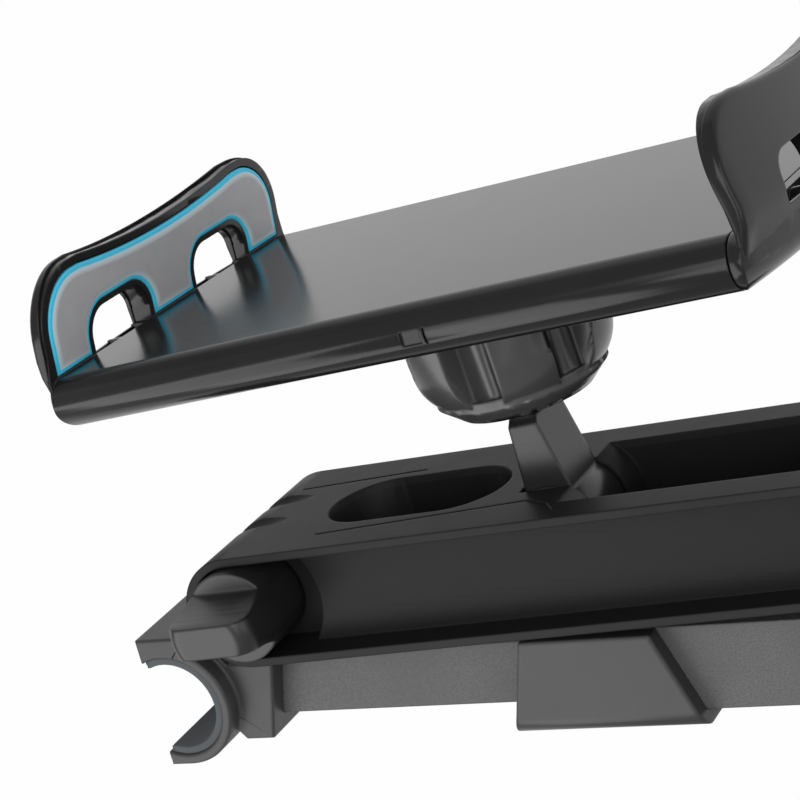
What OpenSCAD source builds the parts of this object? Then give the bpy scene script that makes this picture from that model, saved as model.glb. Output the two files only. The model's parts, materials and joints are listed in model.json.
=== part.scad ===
// Tablet mount that presses between the two posts of a car headrest.
// Working frame of the modules: X runs along the base from the fixed post to the sliding post,
// Y points to the passenger and Z points up along the posts. placed() turns this frame by half
// a turn about Z, so that the finished part faces the passenger with its -Y side.
// The origin is on the axis of the fixed post, at the middle height of its saddle.

/* [Post saddles] */
// Radius that the soft liner leaves for a post
post_r = 8.7; // [6:0.1:9]
// Thickness of the soft liner
pad_t = 1.5; // [1:0.1:2]
// Wall of a saddle outside its liner
saddle_wall = 2; // [1.6:0.1:2.4]
// Height of a saddle along its post
saddle_h = 42.2; // [36:0.2:46]
// Half of the angle that the liner covers
pad_half_angle = 112; // [90:1:114]
// How far the jaws of a saddle reach past the post's axis
jaw_reach = 4.4; // [2:0.1:5]
// Distance from the post's axis to the flat outer face of the jaw beside the arm
jaw_flat = 14.2; // [13.2:0.1:15]
// The same distance on the sliding saddle, which passes behind the arm
slim_flat = 11.2; // [11:0.1:11.3]
// Height of the blocks behind the saddles
block_h = 35; // [31:0.5:38]

/* [Telescoping base] */
// Distance between the two post axes with the base at its widest
post_span = 152; // [148:0.5:160]
// How far the base can be pressed together
stretch_travel = 28; // [10:1:28]
// Thickness of the inner bar, towards the passenger
bar_t = 12; // [11:0.5:13]
// Height of the inner bar
bar_h = 26; // [22:0.5:28]
// Wall of the inner bar and of the outer tube
bar_wall = 1.8; // [1.4:0.1:2]
// Play of the inner bar in the outer tube, each side
bar_play = 0.2; // [0.1:0.05:0.3]
// Length of the bracket round the mouth of the outer tube, at its narrow side
bracket_len = 25; // [20:1:30]
// Slant of the bracket's ends
bracket_slant = 16; // [8:1:20]
// Wall of the bracket in front of and behind the tube
bracket_wall = 3.6; // [2.5:0.1:4]

/* [Arm] */
// Distance from the post's axis to the swing axis, along the base
swing_x = 20.5; // [19.5:0.1:22]
// Distance from the post's axis to the swing axis, towards the passenger
swing_y = 18.5; // [18.3:0.1:20]
// Angle between the arm and the base with the arm closed
arm_open = 2.4; // [2.3:0.1:4]
// Distance between the centres of the arm's two rounded ends
arm_len = 128; // [122:1:140]
// Thickness of the arm, towards the passenger
arm_t = 22; // [21.6:0.1:23]
// Rim round the recess in each side of the arm
rim_w = 1.65; // [1.4:0.05:2]
// Depth of the recess in each side of the arm
recess_d = 6; // [5:0.1:6.4]
// Width of the slot that the link folds into
slot_w = 27.4; // [26:0.1:28]
// Length of the slot past the link's hinge
slot_len = 51; // [44:1:54]
// Length of the oval finger hollow
oval_len = 37; // [30:0.5:38]
// Width of the oval finger hollow
oval_w = 20.5; // [16:0.5:22]
// Depth of the oval finger hollow
oval_d = 15; // [8:0.5:17]

/* [Clamping knob] */
// Radius of the knob's disc
knob_r = 9; // [8:0.1:9.2]
// How far the knob's disc stands out of the arm
knob_rise = 2; // [1:0.1:4]
// How far the wing stands out of the disc
wing_rise = 10.5; // [7:0.5:13]
// Thickness of the wing at its free edge
wing_t = 6.2; // [5:0.1:8]
// Rounding of the wing's ends
wing_round = 3.4; // [1:0.1:4]
// Radius of the scoops beside the wing
scoop_r = 26; // [18:1:40]
// Radius of the clamping bolt
bolt_r = 3; // [2.5:0.1:3.2]

/* [Link and ball] */
// Distance from the swing axis to the link's hinge, along the arm
hinge_s = 61; // [60.5:0.1:62]
// Offset of the link's hinge from the middle of the arm
hinge_off = 3; // [2:0.1:3.5]
// Radius of the link's hub
hub_r = 8.8; // [8:0.1:9]
// Distance from the link's hinge to the ball
link_len = 31; // [30.5:0.5:36]
// Lean of the link from square to the arm
link_lean = 3.1; // [0:0.1:6]
// Height of the link along the hinge
link_h = 12.4; // [11:0.1:12.6]
// Radius of the ball
ball_r = 9; // [8.5:0.1:9]
// Radius of the neck under the ball
neck_r = 4.4; // [3.5:0.1:4.6]
// Radius of the link's hinge pin
pin_r = 2.5; // [2:0.1:3]

/* [Ball clamp] */
// Thickness of the split liner round the ball
liner_t = 0.9; // [0.7:0.05:1.2]
// Radius of the socket's thread, drawn as a plain cylinder
thread_r = 14; // [13.6:0.1:14.2]
// Radius of the lock nut over its lobes
nut_r = 18.9; // [18:0.1:20]
// Radius of the lock nut between its lobes
nut_valley_r = 15.3; // [15.2:0.1:15.8]
// Width of a lobe
lobe_w = 10.4; // [7:0.1:11]
// Number of lobes
lobe_n = 6; // [5:1:8]

/* [Cradle] */
// Distance from the ball's centre to the back of the cradle
cradle_off = 14.3; // [14.3:0.1:16]
// Thickness of the cradle
cradle_t = 9; // [8.8:0.1:10]
// Height of the cradle
cradle_h = 87; // [80:0.5:95]
// Opening between the closed jaws
opening = 131.8; // [124:0.2:136]
// How far the sliding jaw opens
jaw_travel = 90; // [40:1:92]
// Thickness of a jaw
jaw_t = 4.8; // [4.4:0.1:6]
// How far a jaw rises over the cradle's face
jaw_rise = 18.5; // [17.5:0.1:22]
// Depth of the dip in the jaw's free edge
jaw_dip = 1.9; // [1:0.1:3]
// Radius of the jaw's horns
horn_r = 11.6; // [9:0.1:12]
// How far the jaw's widest point stays inside the cradle's side
horn_in = 2.1; // [1.5:0.1:3]
// Inward lean of a jaw, in degrees
jaw_lean = 11; // [8:0.5:12]
// Width of a slot in a jaw
window_w = 19; // [14:0.5:20]
// Rise of a slot in a jaw over the cradle's face
window_rise = 7.6; // [7:0.1:9]
// Half of the rib between the two slots of a jaw
window_rib = 8.2; // [5:0.1:9]
// Margin between the soft pad and the jaw's free edge
pad_margin = 1.4; // [1:0.1:3]
// Margin between the soft pad and the jaw's sides
pad_side = 1.8; // [1.4:0.1:3]
// Thickness of a jaw's soft pad
jaw_pad_t = 1.6; // [1.4:0.1:2]
// Depth of the pad's seat in the jaw
jaw_seat = 1.4; // [0.8:0.1:1.4]
// Thickness of the sliding tray
tray_t = 4.4; // [3.6:0.1:4.6]
// Play of the tray in the cradle, each side
tray_play = 0.3; // [0.2:0.05:0.4]

/* [Hidden] */
$fn = 96;

// A cutter reaches this far past the face that it opens
over = 1;
arm_h = saddle_h;
// Flat faces of different bodies stay this far apart
face_gap = 0.3;
// Radial clearance of a turning fit
fit = 0.06;
shell_in = post_r + pad_t;
shell_out = shell_in + saddle_wall;
block_low = -shell_out + 3;
tube_in_t = bar_t + 2 * bar_play;
tube_in_h = bar_h + 2 * bar_play;
tube_t = tube_in_t + 2 * bar_wall;
tube_h = tube_in_h + 2 * bar_wall;
bracket_h = tube_h + 2 * bracket_wall;
bracket_low = -tube_t / 2 - 2.2;
bracket_top = tube_t / 2 + 0.2;
bar_start = 14;
tube_start = 74;
tube_end = post_span - shell_out - 3;
tube_cap = 2.6;
bar_end = tube_start + 24;
end_r = arm_t / 2;
rim_r = end_r - rim_w;
web_z = arm_h / 2 - recess_d;
slot_end = hinge_s + slot_len;
oval_s = hinge_s - hub_r - 1.5 - oval_len / 2;
lug_r = 9;
lug_h = 19;
lug_neck = 10;
groove_w = 0.6;
groove_d = 0.4;
pocket_r = 14.3;
pocket_floor = lug_h / 2 + 1.6;
washer_t = 0.8;
flute_r = 3;
flute_d = 1.2;
flute_turn = 10;
knob_base = pocket_floor + washer_t;
bolt_head = 4;
knob_face = arm_h / 2 + knob_rise;
swing_max = 100;
neck_end = -90 - arm_open - swing_max - 33;
boss_r = 9.3;
pin_top = web_z - 0.9;
boss_z = link_h / 2 + 0.4;
nut_low = -7.4;
nut_top = cradle_off - face_gap;
nut_shoulder = nut_low + 3.2;
collar_r = 15.9;
collar_h = 1.8;
barrel_foot = 15;
barrel_drop = 8.2;
lobe_turn = -57;
lip_r = 7.9;
liner_r = ball_r + fit + liner_t;
cup_r = thread_r - 2.4;
screw_r = 1.25;
screw_len = 5;
block_screw_x = 16.6;
block_screw_y = 3.2;
tube_screw_x = tube_end - 2.4;
tube_screw_y = 4;
cradle_face = cradle_off + cradle_t;
side_r = cradle_t / 2;
jaw_top = cradle_face + jaw_rise;
jaw_x = opening / 2;
tray_screw_x = jaw_x - 0.3;
lap = 0.3;
bow_r = 212;
dip_half = 27;
tray_screw_z = 18;
tray_head_r = 1.6;
half_h = cradle_h / 2;
cover_t = 2;
cavity_h = cradle_h - 8;
cavity_low = cradle_off + cover_t;
cavity_t = tray_t + 2 * tray_play;
cavity_left = -jaw_x + 4.5;
mouth_x = jaw_x - 2;
seam = 0.3;
tray_left = cavity_left + 0.6;
spring_z = 25;
spring_slot = 7;
spring_r = 2.2;
spring_hook = 30;
peg_x = cavity_left + 3.5;
boss_slot = 9;
boss_x = [-45, 27];

// Turns the working frame so that the passenger is on the -Y side
module placed() rotate([0, 0, 180]) children();
module at_arm() translate([swing_x, swing_y, 0]) rotate([0, 0, arm_open]) children();
module at_link() at_arm() translate([hinge_s, hinge_off, 0]) rotate([0, 0, link_lean]) children();
// The cradle leans a little from square to the link, as it was left
module at_cradle() at_link()
    translate([0, link_len, 0]) rotate([0, 0, -0.73]) rotate([0, -2.1, 0]) children();
// Lays what is built along Z so that it points to the passenger
module to_passenger() rotate([-90, 0, 0]) children();
// Lays an outline drawn in (Z, Y) across the cradle and extrudes it along X
module across(x, t) translate([x, 0, 0]) rotate([0, 90, 0]) mirror([1, 0, 0]) linear_extrude(t) children();

function heading(a) = [cos(a), sin(a)];
module ring(r_out, r_in, h) difference() {
    cylinder(r = r_out, h = h);
    translate([0, 0, -over]) cylinder(r = r_in, h = h + 2 * over);
}
module slab(low, high) translate(low) cube(high - low);
// Screw of the base, driven upwards, and the hole that its head and shaft fill
module screw() {
    translate([0, 0, 0.4]) cylinder(r = 2 * screw_r - 0.1, h = 1.2);
    translate([0, 0, 1.6]) cylinder(r = screw_r, h = screw_len);
}
module screw_hole() {
    translate([0, 0, -over]) cylinder(r = 2 * screw_r, h = over + 1.6);
    cylinder(r = screw_r, h = screw_len + 3);
}

// Arc wall round a post, open towards -X
module arc_wall(r_in, r_out, h, half) rotate([0, 0, -half]) rotate_extrude(angle = 2 * half)
    translate([r_in, -h / 2]) square([r_out - r_in, h]);

// Saddle with jaws that reach past the post, flat on the side that faces the arm
module saddle(flat_y) difference() {
    intersection() {
        union() {
            cylinder(r = shell_out, h = saddle_h, center = true);
            slab([-jaw_reach, 0, -saddle_h / 2], [shell_out * 0.55, flat_y, saddle_h / 2]);
            slab([-jaw_reach, -shell_out, -saddle_h / 2], [0, -shell_in, saddle_h / 2]);
        }
        slab([-jaw_reach, -shell_out - over, -saddle_h / 2], [shell_out + over, flat_y, saddle_h / 2]);
    }
    cylinder(r = shell_in, h = saddle_h + 2 * over, center = true);
}
// Outline of the block behind the fixed saddle, sloping away from the arm's rounded end
module fixed_outline() polygon([
    [shell_in * 0.6, jaw_flat], [shell_in * 0.45, -6], [shell_in - 1, -6], [shell_in + 1.4, block_low],
    [bar_start + 3.6, block_low], [bar_start + 8, 6.5], [12, 6.5]]);
module inner_bar_space(grow, x0, x1) slab(
    [x0, -bar_t / 2 - grow, -bar_h / 2 - grow], [x1, bar_t / 2 + grow, bar_h / 2 + grow]);

module fixed_block() color("#3a3b3d") placed() {
    difference() {
        union() {
            saddle(jaw_flat);
            difference() {
                translate([0, 0, -block_h / 2]) linear_extrude(block_h) fixed_outline();
                cylinder(r = shell_in, h = saddle_h + 2 * over, center = true);
            }
            // Lug that carries the arm, with its neck back to the block
            translate([swing_x, swing_y, -lug_h / 2]) cylinder(r = lug_r, h = lug_h);
            slab([swing_x - lug_neck / 2, 0, -lug_h / 2], [swing_x + lug_neck / 2, swing_y, lug_h / 2]);
        }
        inner_bar_space(0, bar_start, bar_start + 20);
        translate([swing_x, swing_y, -lug_h]) cylinder(r = bolt_r + fit, h = 2 * lug_h);
        for (y = [-1, 1]) translate([block_screw_x + y * 0.4, y * block_screw_y, -block_h / 2]) screw_hole();
    }
}
module fixed_pad() color("#4a4c50") placed() arc_wall(post_r, shell_in, saddle_h - 1, pad_half_angle);
module inner_bar() color("#606163") placed() difference() {
    inner_bar_space(0, bar_start, bar_end);
    inner_bar_space(-bar_wall, bar_start - over, bar_end + over);
    for (y = [-1, 1]) translate([block_screw_x + y * 0.4, y * block_screw_y, -block_h / 2]) screw_hole();
}
// Bolt through the lug and both webs of the arm: a hexagon head below, a thread up into the knob
module clamp_bolt() color("#8b8d90") placed() translate([swing_x, swing_y, 0]) {
    translate([0, 0, -knob_base - bolt_head]) cylinder(r = 5.2, h = bolt_head, $fn = 6);
    translate([0, 0, -knob_base]) cylinder(r = bolt_r, h = knob_base + knob_face);
}
module block_screws() color("#8b8d90") placed() for (y = [-1, 1])
    translate([block_screw_x + y * 0.4, y * block_screw_y, -block_h / 2]) screw();
module base_spring() color("#9a9ca0") placed() translate([bar_start, 0, 0]) rotate([0, 90, 0])
    ring(3.6, 2.8, tube_end - bar_start);

module outer_tube() color("#626365") placed() difference() {
    slab([tube_start, -tube_t / 2, -tube_h / 2], [tube_end + tube_cap, tube_t / 2, tube_h / 2]);
    slab([tube_start - over, -tube_in_t / 2, -tube_in_h / 2], [tube_end, tube_in_t / 2, tube_in_h / 2]);
    for (y = [-1, 1]) translate([tube_screw_x, y * tube_screw_y, -block_h / 2]) screw_hole();
}
// Trapezoid bracket round the tube's mouth, wider on the side that faces the seat
module bracket_outline() {
    rise = bracket_top - bracket_low;
    grow = rise * tan(bracket_slant);
    polygon([[tube_start, bracket_top], [tube_start + bracket_len, bracket_top],
        [tube_start + bracket_len + grow * 1.3, bracket_low], [tube_start - grow, bracket_low]]);
}
module rounded_section(t0, t1, h, r) union() {
    slab([-over, t0, -h / 2 + r], [3 * tube_start, t1, h / 2 - r]);
    slab([-over, t0 + r, -h / 2], [3 * tube_start, t1, h / 2]);
    for (z = [-1, 1]) translate([-over, t0 + r, z * (h / 2 - r)]) rotate([0, 90, 0])
        cylinder(r = r, h = 3 * tube_start + over);
}
module tube_bracket() color("#555658") placed() difference() {
    intersection() {
        translate([0, 0, -bracket_h / 2]) linear_extrude(bracket_h) bracket_outline();
        rounded_section(bracket_low, bracket_top, bracket_h, 3);
    }
    slab([0, -tube_t / 2, -tube_h / 2], [post_span, tube_t / 2, tube_h / 2]);
}
module sliding_block() color("#3a3b3d") placed() difference() {
    union() {
        translate([post_span, 0, 0]) mirror([1, 0, 0]) saddle(slim_flat);
        difference() {
            translate([post_span, 0, -block_h / 2]) mirror([1, 0, 0]) linear_extrude(block_h) polygon([
                [shell_in * 0.6, slim_flat], [shell_in * 0.45, -6], [shell_in - 1, -6],
                [shell_in + 1.4, block_low], [shell_in + 9.6, block_low],
                [shell_in + 14, 8.6], [shell_in + 6, 10.2]]);
            translate([post_span, 0, 0]) cylinder(r = shell_in, h = saddle_h + 2 * over, center = true);
        }
    }
    slab([tube_start, -tube_t / 2, -tube_h / 2], [tube_end + tube_cap, tube_t / 2, tube_h / 2]);
    for (y = [-1, 1]) translate([tube_screw_x, y * tube_screw_y, -block_h / 2]) screw_hole();
}
module sliding_pad() color("#4a4c50") placed() translate([post_span, 0, 0]) mirror([1, 0, 0])
    arc_wall(post_r, shell_in, saddle_h - 1, pad_half_angle);
module tube_screws() color("#8b8d90") placed() for (y = [-1, 1])
    translate([tube_screw_x, y * tube_screw_y, -block_h / 2]) screw();

// Stadium that runs along the arm, grown by g past the beam's own outline
module arm_stadium(r, h) {
    cylinder(r = r, h = h);
    translate([arm_len, 0, 0]) cylinder(r = r, h = h);
    slab([0, -r, 0], [arm_len, r, h]);
}
// Flute round the arm's near end that runs out on its front face
module flute(z) translate([0, 0, z]) {
    rotate([0, 0, 90 + flute_turn]) rotate_extrude(angle = 80)
        translate([end_r + flute_r - flute_d, 0]) circle(r = flute_r);
    rotate([0, 0, flute_turn]) translate([0, end_r + flute_r - flute_d, 0]) rotate([0, 90, 0])
        cylinder(r = flute_r, h = 14);
}
// Point beside point i of a line, at distance w from the line
function beside(points, i, w) = let(
    ends = [points[max(i - 1, 0)], points[min(i + 1, len(points) - 1)]],
    way = (ends[1] - ends[0]) / norm(ends[1] - ends[0]))
    points[i] + w * [-way[1], way[0]];
// Groove along points (S, Z) on the arm's front face
module groove(points) translate([0, end_r + over, 0]) rotate([90, 0, 0]) linear_extrude(groove_d + over)
    polygon(concat(
        [for (i = [0:len(points) - 1]) beside(points, i, groove_w / 2)],
        [for (i = [len(points) - 1:-1:0]) beside(points, i, -groove_w / 2)]));
module arm_beam() color("#3c3d3f") placed() at_arm() difference() {
    union() {
        translate([0, 0, -arm_h / 2]) arm_stadium(end_r, arm_h);
    }
    // Recess and knob pocket in each side
    for (s = [-1, 1]) mirror([0, 0, s > 0 ? 0 : 1]) {
        translate([0, 0, web_z]) arm_stadium(rim_r, recess_d + over);
        intersection() {
            translate([0, 0, pocket_floor]) arm_stadium(rim_r, arm_h);
            cylinder(r = pocket_r, h = arm_h);
        }
    }
    // Space of the lug and the sweep of its neck through the arm's end
    translate([0, 0, -lug_h / 2 - face_gap]) linear_extrude(lug_h + 2 * face_gap) {
        circle(r = lug_r + face_gap);
        polygon(concat([[0, 0]], [for (i = [0:2]) 3 * end_r * heading(neck_end + i * (swing_max + 66) / 2)]));
    }
    translate([0, 0, -arm_h]) cylinder(r = bolt_r + fit, h = 2 * arm_h);
    // Slot of the link, with the hinge bosses left standing
    translate([hinge_s, hinge_off, -boss_z]) cylinder(r = hub_r + 0.7, h = 2 * boss_z);
    difference() {
        slab([hinge_s, -rim_r, -slot_w / 2], [slot_end, end_r + over, slot_w / 2]);
        for (s = [-1, 1]) translate([hinge_s, hinge_off, s > 0 ? boss_z : -slot_w / 2 - over])
            cylinder(r = boss_r, h = slot_w / 2 + over - boss_z);
    }
    translate([hinge_s, hinge_off, -arm_h]) cylinder(r = pin_r + fit, h = arm_h + pin_top + face_gap);
    // Oval finger hollow between the slot and the swing axis
    translate([oval_s, end_r - oval_d, 0]) to_passenger() {
        for (s = [-1, 1]) translate([s * (oval_len - oval_w) / 2, 0, 0]) cylinder(r = oval_w / 2, h = arm_t);
        slab([-(oval_len - oval_w) / 2, -oval_w / 2, 0], [(oval_len - oval_w) / 2, oval_w / 2, arm_t]);
    }
    flute(4.2);
    flute(-6.5);
    groove([[hinge_s - 44, 14.3], [hinge_s - 2, 11], [hinge_s + 2.6, 13.6], [hinge_s + 5, 17]]);
    groove([[hinge_s - 60, -11.3], [hinge_s - 33, -12.9]]);
}
module swing_washers() color("#1d1d1e") placed() at_arm() for (s = [0, 1]) mirror([0, 0, s])
    translate([0, 0, pocket_floor]) ring(s == 0 ? 7.5 : 0.01 + 7.5, bolt_r + fit, washer_t);
// Pin pressed up into a blind hole, so that the face beside the knob stays plain
module hinge_pin() color("#8b8d90") placed() at_arm() translate([hinge_s, hinge_off, -web_z])
    cylinder(r = pin_r, h = web_z + pin_top);
module pin_cap() color("#3c3d3f") placed() at_arm() translate([hinge_s, hinge_off, -web_z - 1.4])
    cylinder(r = 4.2, h = 1.4);
module hinge_washers() color("#1d1d1e") placed() at_arm() translate([hinge_s, hinge_off, 0])
    for (s = [0, 1]) mirror([0, 0, s]) translate([0, 0, boss_z - 0.3]) ring(hub_r - 0.4, pin_r + fit, 0.3);

// Knob: a disc in the arm's pocket with a wing across it, scooped on both sides
module clamp_knob() color("#2e2f31") placed() at_arm() difference() {
    rotate([0, 0, 90]) rotate_extrude() {
        translate([0, knob_base]) square([knob_r, knob_face + wing_rise - wing_round - knob_base]);
        translate([0, knob_base]) square([knob_r - wing_round, knob_face + wing_rise - knob_base]);
        translate([knob_r - wing_round, knob_face + wing_rise - wing_round]) intersection() {
            circle(r = wing_round);
            square(2 * wing_round);
        }
    }
    for (s = [-1, 1]) intersection() {
        translate([0, s * (wing_t / 2 + scoop_r), knob_face + wing_rise]) rotate([0, 90, 0])
            cylinder(r = scoop_r, h = 4 * knob_r, center = true);
        translate([-2 * knob_r, s > 0 ? 0 : -2 * knob_r, knob_face])
            cube([4 * knob_r, 2 * knob_r, wing_rise + over]);
    }
    translate([0, 0, knob_base - over]) cylinder(r = 4.5, h = knob_face + over - knob_base + 0.5);
}
module knob_insert() color("#b08d4a") placed() at_arm() translate([0, 0, knob_base])
    ring(4.5, bolt_r + fit, knob_face - knob_base);

// Link: a tapered blade on a round hub, grooved on the side away from the swing axis
module link() color("#404143") placed() at_link() difference() {
    union() {
        cylinder(r = hub_r, h = link_h, center = true);
        difference() {
            translate([0, 0, -link_h / 2]) linear_extrude(link_h) polygon([
                [-4.4, 0], [-2.7, link_len - 9.6], [2.6, link_len - 9.6], [6.6, 0]]);
            for (s = [-1, 1]) translate([0, link_len - 9.6, s * link_h / 2]) rotate([45, 0, 0])
                cube([4 * hub_r, 1.7, 1.7], center = true);
        }
    }
    cylinder(r = pin_r + fit, h = 2 * link_h, center = true);
    translate([2.6 + 1.1, link_len - 9.6, 0]) rotate([0, 0, 10.6]) slab([-1, -13, -2.4], [3, over + 2, 3.2]);
    translate([0, link_len - 16, 0]) to_passenger() cylinder(r = 2, h = 10);
}
module ball_stud() color("#77797c") placed() at_link() {
    translate([0, link_len, 0]) sphere(r = ball_r, $fn = 64);
    translate([0, link_len - 9.6, 0]) to_passenger() cylinder(r = neck_r * 0.58, h = 4);
    translate([0, link_len - 9.6, 0]) to_passenger() cylinder(r1 = neck_r * 0.58, r2 = neck_r, h = 2.2);
    translate([0, link_len - 7.4, 0]) to_passenger() cylinder(r = neck_r, h = 3);
    translate([0, link_len - 15.6, 0]) to_passenger() cylinder(r = 2, h = 8);
}

// Zone of a ball shell about the ball's centre, revolved about the cradle's normal
module shell_zone(r_in, r_out, low, high) to_passenger() intersection() {
    difference() {
        sphere(r = r_out);
        sphere(r = r_in);
    }
    translate([0, 0, low]) cylinder(r = 2 * r_out, h = high - low);
}
module ball_liner() color("#b9babd") placed() at_cradle()
    shell_zone(ball_r + fit, liner_r, -ball_r * 0.66, ball_r * 0.85);
module pressure_cup() color("#2b2b2d") placed() at_cradle() to_passenger() difference() {
    translate([0, 0, 2.6]) cylinder(r = cup_r - fit, h = cradle_off - 0.1 - 2.6);
    sphere(r = liner_r + fit);
}
module clamp_ring() color("#c9cacc") placed() at_cradle() to_passenger() difference() {
    nut_cone(0, 5.2);
    sphere(r = liner_r + fit);
    translate([0, 0, nut_low]) cylinder(r = lip_r, h = 5);
}
// Cone shared by the clamp ring and the nut's seat, with a straight part above it
module nut_cone(grow, h) {
    translate([0, 0, nut_low + 1.2]) cylinder(r1 = thread_r - 3 + grow, r2 = thread_r - fit + grow, h = 3.6);
    translate([0, 0, nut_low + 4.8]) cylinder(r = thread_r - fit + grow, h = h - 3.6);
}
// Barrel that curves in to the nut's collar, turned from a circle arc
module nut_barrel() {
    rise = nut_r - barrel_foot;
    bow = (rise * rise + barrel_drop * barrel_drop) / (2 * rise);
    rotate([0, 0, lobe_turn + 180 / lobe_n]) rotate_extrude() intersection() {
        union() {
            translate([nut_r - bow, nut_shoulder + barrel_drop]) circle(r = bow);
            translate([0, nut_shoulder + barrel_drop]) square([nut_r, nut_top - nut_shoulder - barrel_drop]);
        }
        translate([0, nut_shoulder]) square([nut_r, nut_top - nut_shoulder]);
    }
}
module lock_nut() color("#333436") placed() at_cradle() to_passenger() difference() {
    union() {
        translate([0, 0, nut_low]) cylinder(r1 = lip_r + 4.4, r2 = collar_r, h = nut_shoulder - nut_low);
        translate([0, 0, nut_shoulder]) cylinder(r = collar_r, h = collar_h);
        translate([0, 0, nut_shoulder]) cylinder(r = nut_valley_r, h = nut_top - nut_shoulder);
        intersection() {
            nut_barrel();
            for (i = [0:lobe_n - 1]) rotate([0, 0, lobe_turn + i * 360 / lobe_n])
                translate([thread_r + 0.25, -lobe_w / 2, nut_shoulder - over])
                    cube([2 * nut_r, lobe_w, nut_top - nut_shoulder + 2 * over]);
        }
    }
    translate([0, 0, nut_low - over]) cylinder(r = lip_r, h = 4);
    nut_cone(2 * fit, nut_top - nut_low);
}

// Circle that dips between the horns of an outline whose highest line is at y = top
module dip_circle(top) {
    dip_r = (dip_half * dip_half + jaw_dip * jaw_dip) / (2 * jaw_dip);
    translate([0, top - jaw_dip + dip_r]) circle(r = dip_r, $fn = 360);
}
// Half of a circle, above its centre
module upper_half(r) intersection() {
    circle(r = r);
    translate([-2 * r, 0]) square([4 * r, 2 * r]);
}
// Outline of a jaw in (Z, Y): sides that narrow a little from the cradle up, round horns and a dip
module jaw_outline() difference() {
    horn = half_h - horn_in;
    low = cradle_off + side_r;
    union() {
        polygon([[-half_h + 0.5, low], [half_h - 0.5, low],
            [horn, cradle_face + 4], [-horn, cradle_face + 4]]);
        translate([-horn, cradle_face + 4]) square([2 * horn, jaw_top - horn_r - cradle_face - 4]);
        translate([-horn + horn_r, cradle_face]) square([2 * (horn - horn_r), jaw_rise]);
        for (s = [-1, 1]) translate([s * (horn - horn_r), jaw_top - horn_r]) upper_half(horn_r);
    }
    dip_circle(jaw_top);
}
// Stadium section of the cradle in (Z, Y)
module cradle_section() {
    translate([-half_h + side_r, cradle_off]) square([cradle_h - 2 * side_r, cradle_t]);
    for (s = [-1, 1]) translate([s * (half_h - side_r), cradle_off + side_r]) circle(r = side_r);
}
// Two openings of a jaw in (Z, Y), square at the cradle's face and rounded above, grown by g
module windows(g) for (s = [-1, 1]) translate([s * (window_rib + window_w / 2), 0]) {
    r = 5;
    translate([-window_w / 2 - g, cradle_face - 0.2]) square([window_w + 2 * g, window_rise - r + 0.2]);
    translate([-window_w / 2 + r, cradle_face]) square([window_w - 2 * r, window_rise + g]);
    for (e = [-1, 1]) translate([e * (window_w / 2 - r), cradle_face + window_rise - r]) circle(r = r + g);
}
// Body of revolution that bounds the +X end: bowed in plan, with a rounded foot and a leaning top
module jaw_bow() translate([jaw_x + jaw_t - bow_r, 0, 0]) rotate([-90, 0, 0])
rotate([0, 0, -40]) rotate_extrude(angle = 80, $fn = 720) {
    foot = jaw_t - 0.4;
    low = cradle_off - 0.35;
    polygon([[60, low], [bow_r - foot, low], [bow_r, low + foot], [bow_r, cradle_face + 1],
        [bow_r - (jaw_rise + 3) * tan(jaw_lean), cradle_face + jaw_rise + 4],
        [60, cradle_face + jaw_rise + 4]]);
    intersection() {
        translate([bow_r - foot, low + foot]) circle(r = foot);
        translate([bow_r - foot, low]) square([foot, 2 * foot]);
    }
}
// Jaw on the +X end, with its seat for the pad and its two openings
module jaw() difference() {
    intersection() {
        across(jaw_x - 4, jaw_t + 8) {
            jaw_outline();
            cradle_section();
        }
        translate([0, 0, -cradle_h]) linear_extrude(2 * cradle_h) polygon([
            [jaw_x, cradle_off - over], [jaw_x + 4 * jaw_t, cradle_off - over],
            [jaw_x + 4 * jaw_t, jaw_top + over],
            [jaw_x - (jaw_rise + over) * tan(jaw_lean), jaw_top + over], [jaw_x, cradle_face]]);
    }
    pad_solid(0, -jaw_seat, over);
    across(jaw_x - 5, jaw_t + 10) windows(0);
}
// Outline of the pad in (Z, Y), drawn inwards by d: round horns and a dip that follow the jaw's
module pad_outline(d) difference() {
    side = half_h - horn_in - pad_side;
    top = jaw_top - pad_margin;
    corner = horn_r - pad_margin;
    union() {
        translate([-side + d, cradle_face + 0.3]) square([2 * (side - d), top - corner - cradle_face - 0.3]);
        translate([-side + corner, cradle_face + 0.3])
            square([2 * (side - corner), top - d - cradle_face - 0.3]);
        for (s = [-1, 1]) translate([s * (side - corner), top - corner]) upper_half(corner - d);
    }
    dip_circle(top - d);
}
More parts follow.
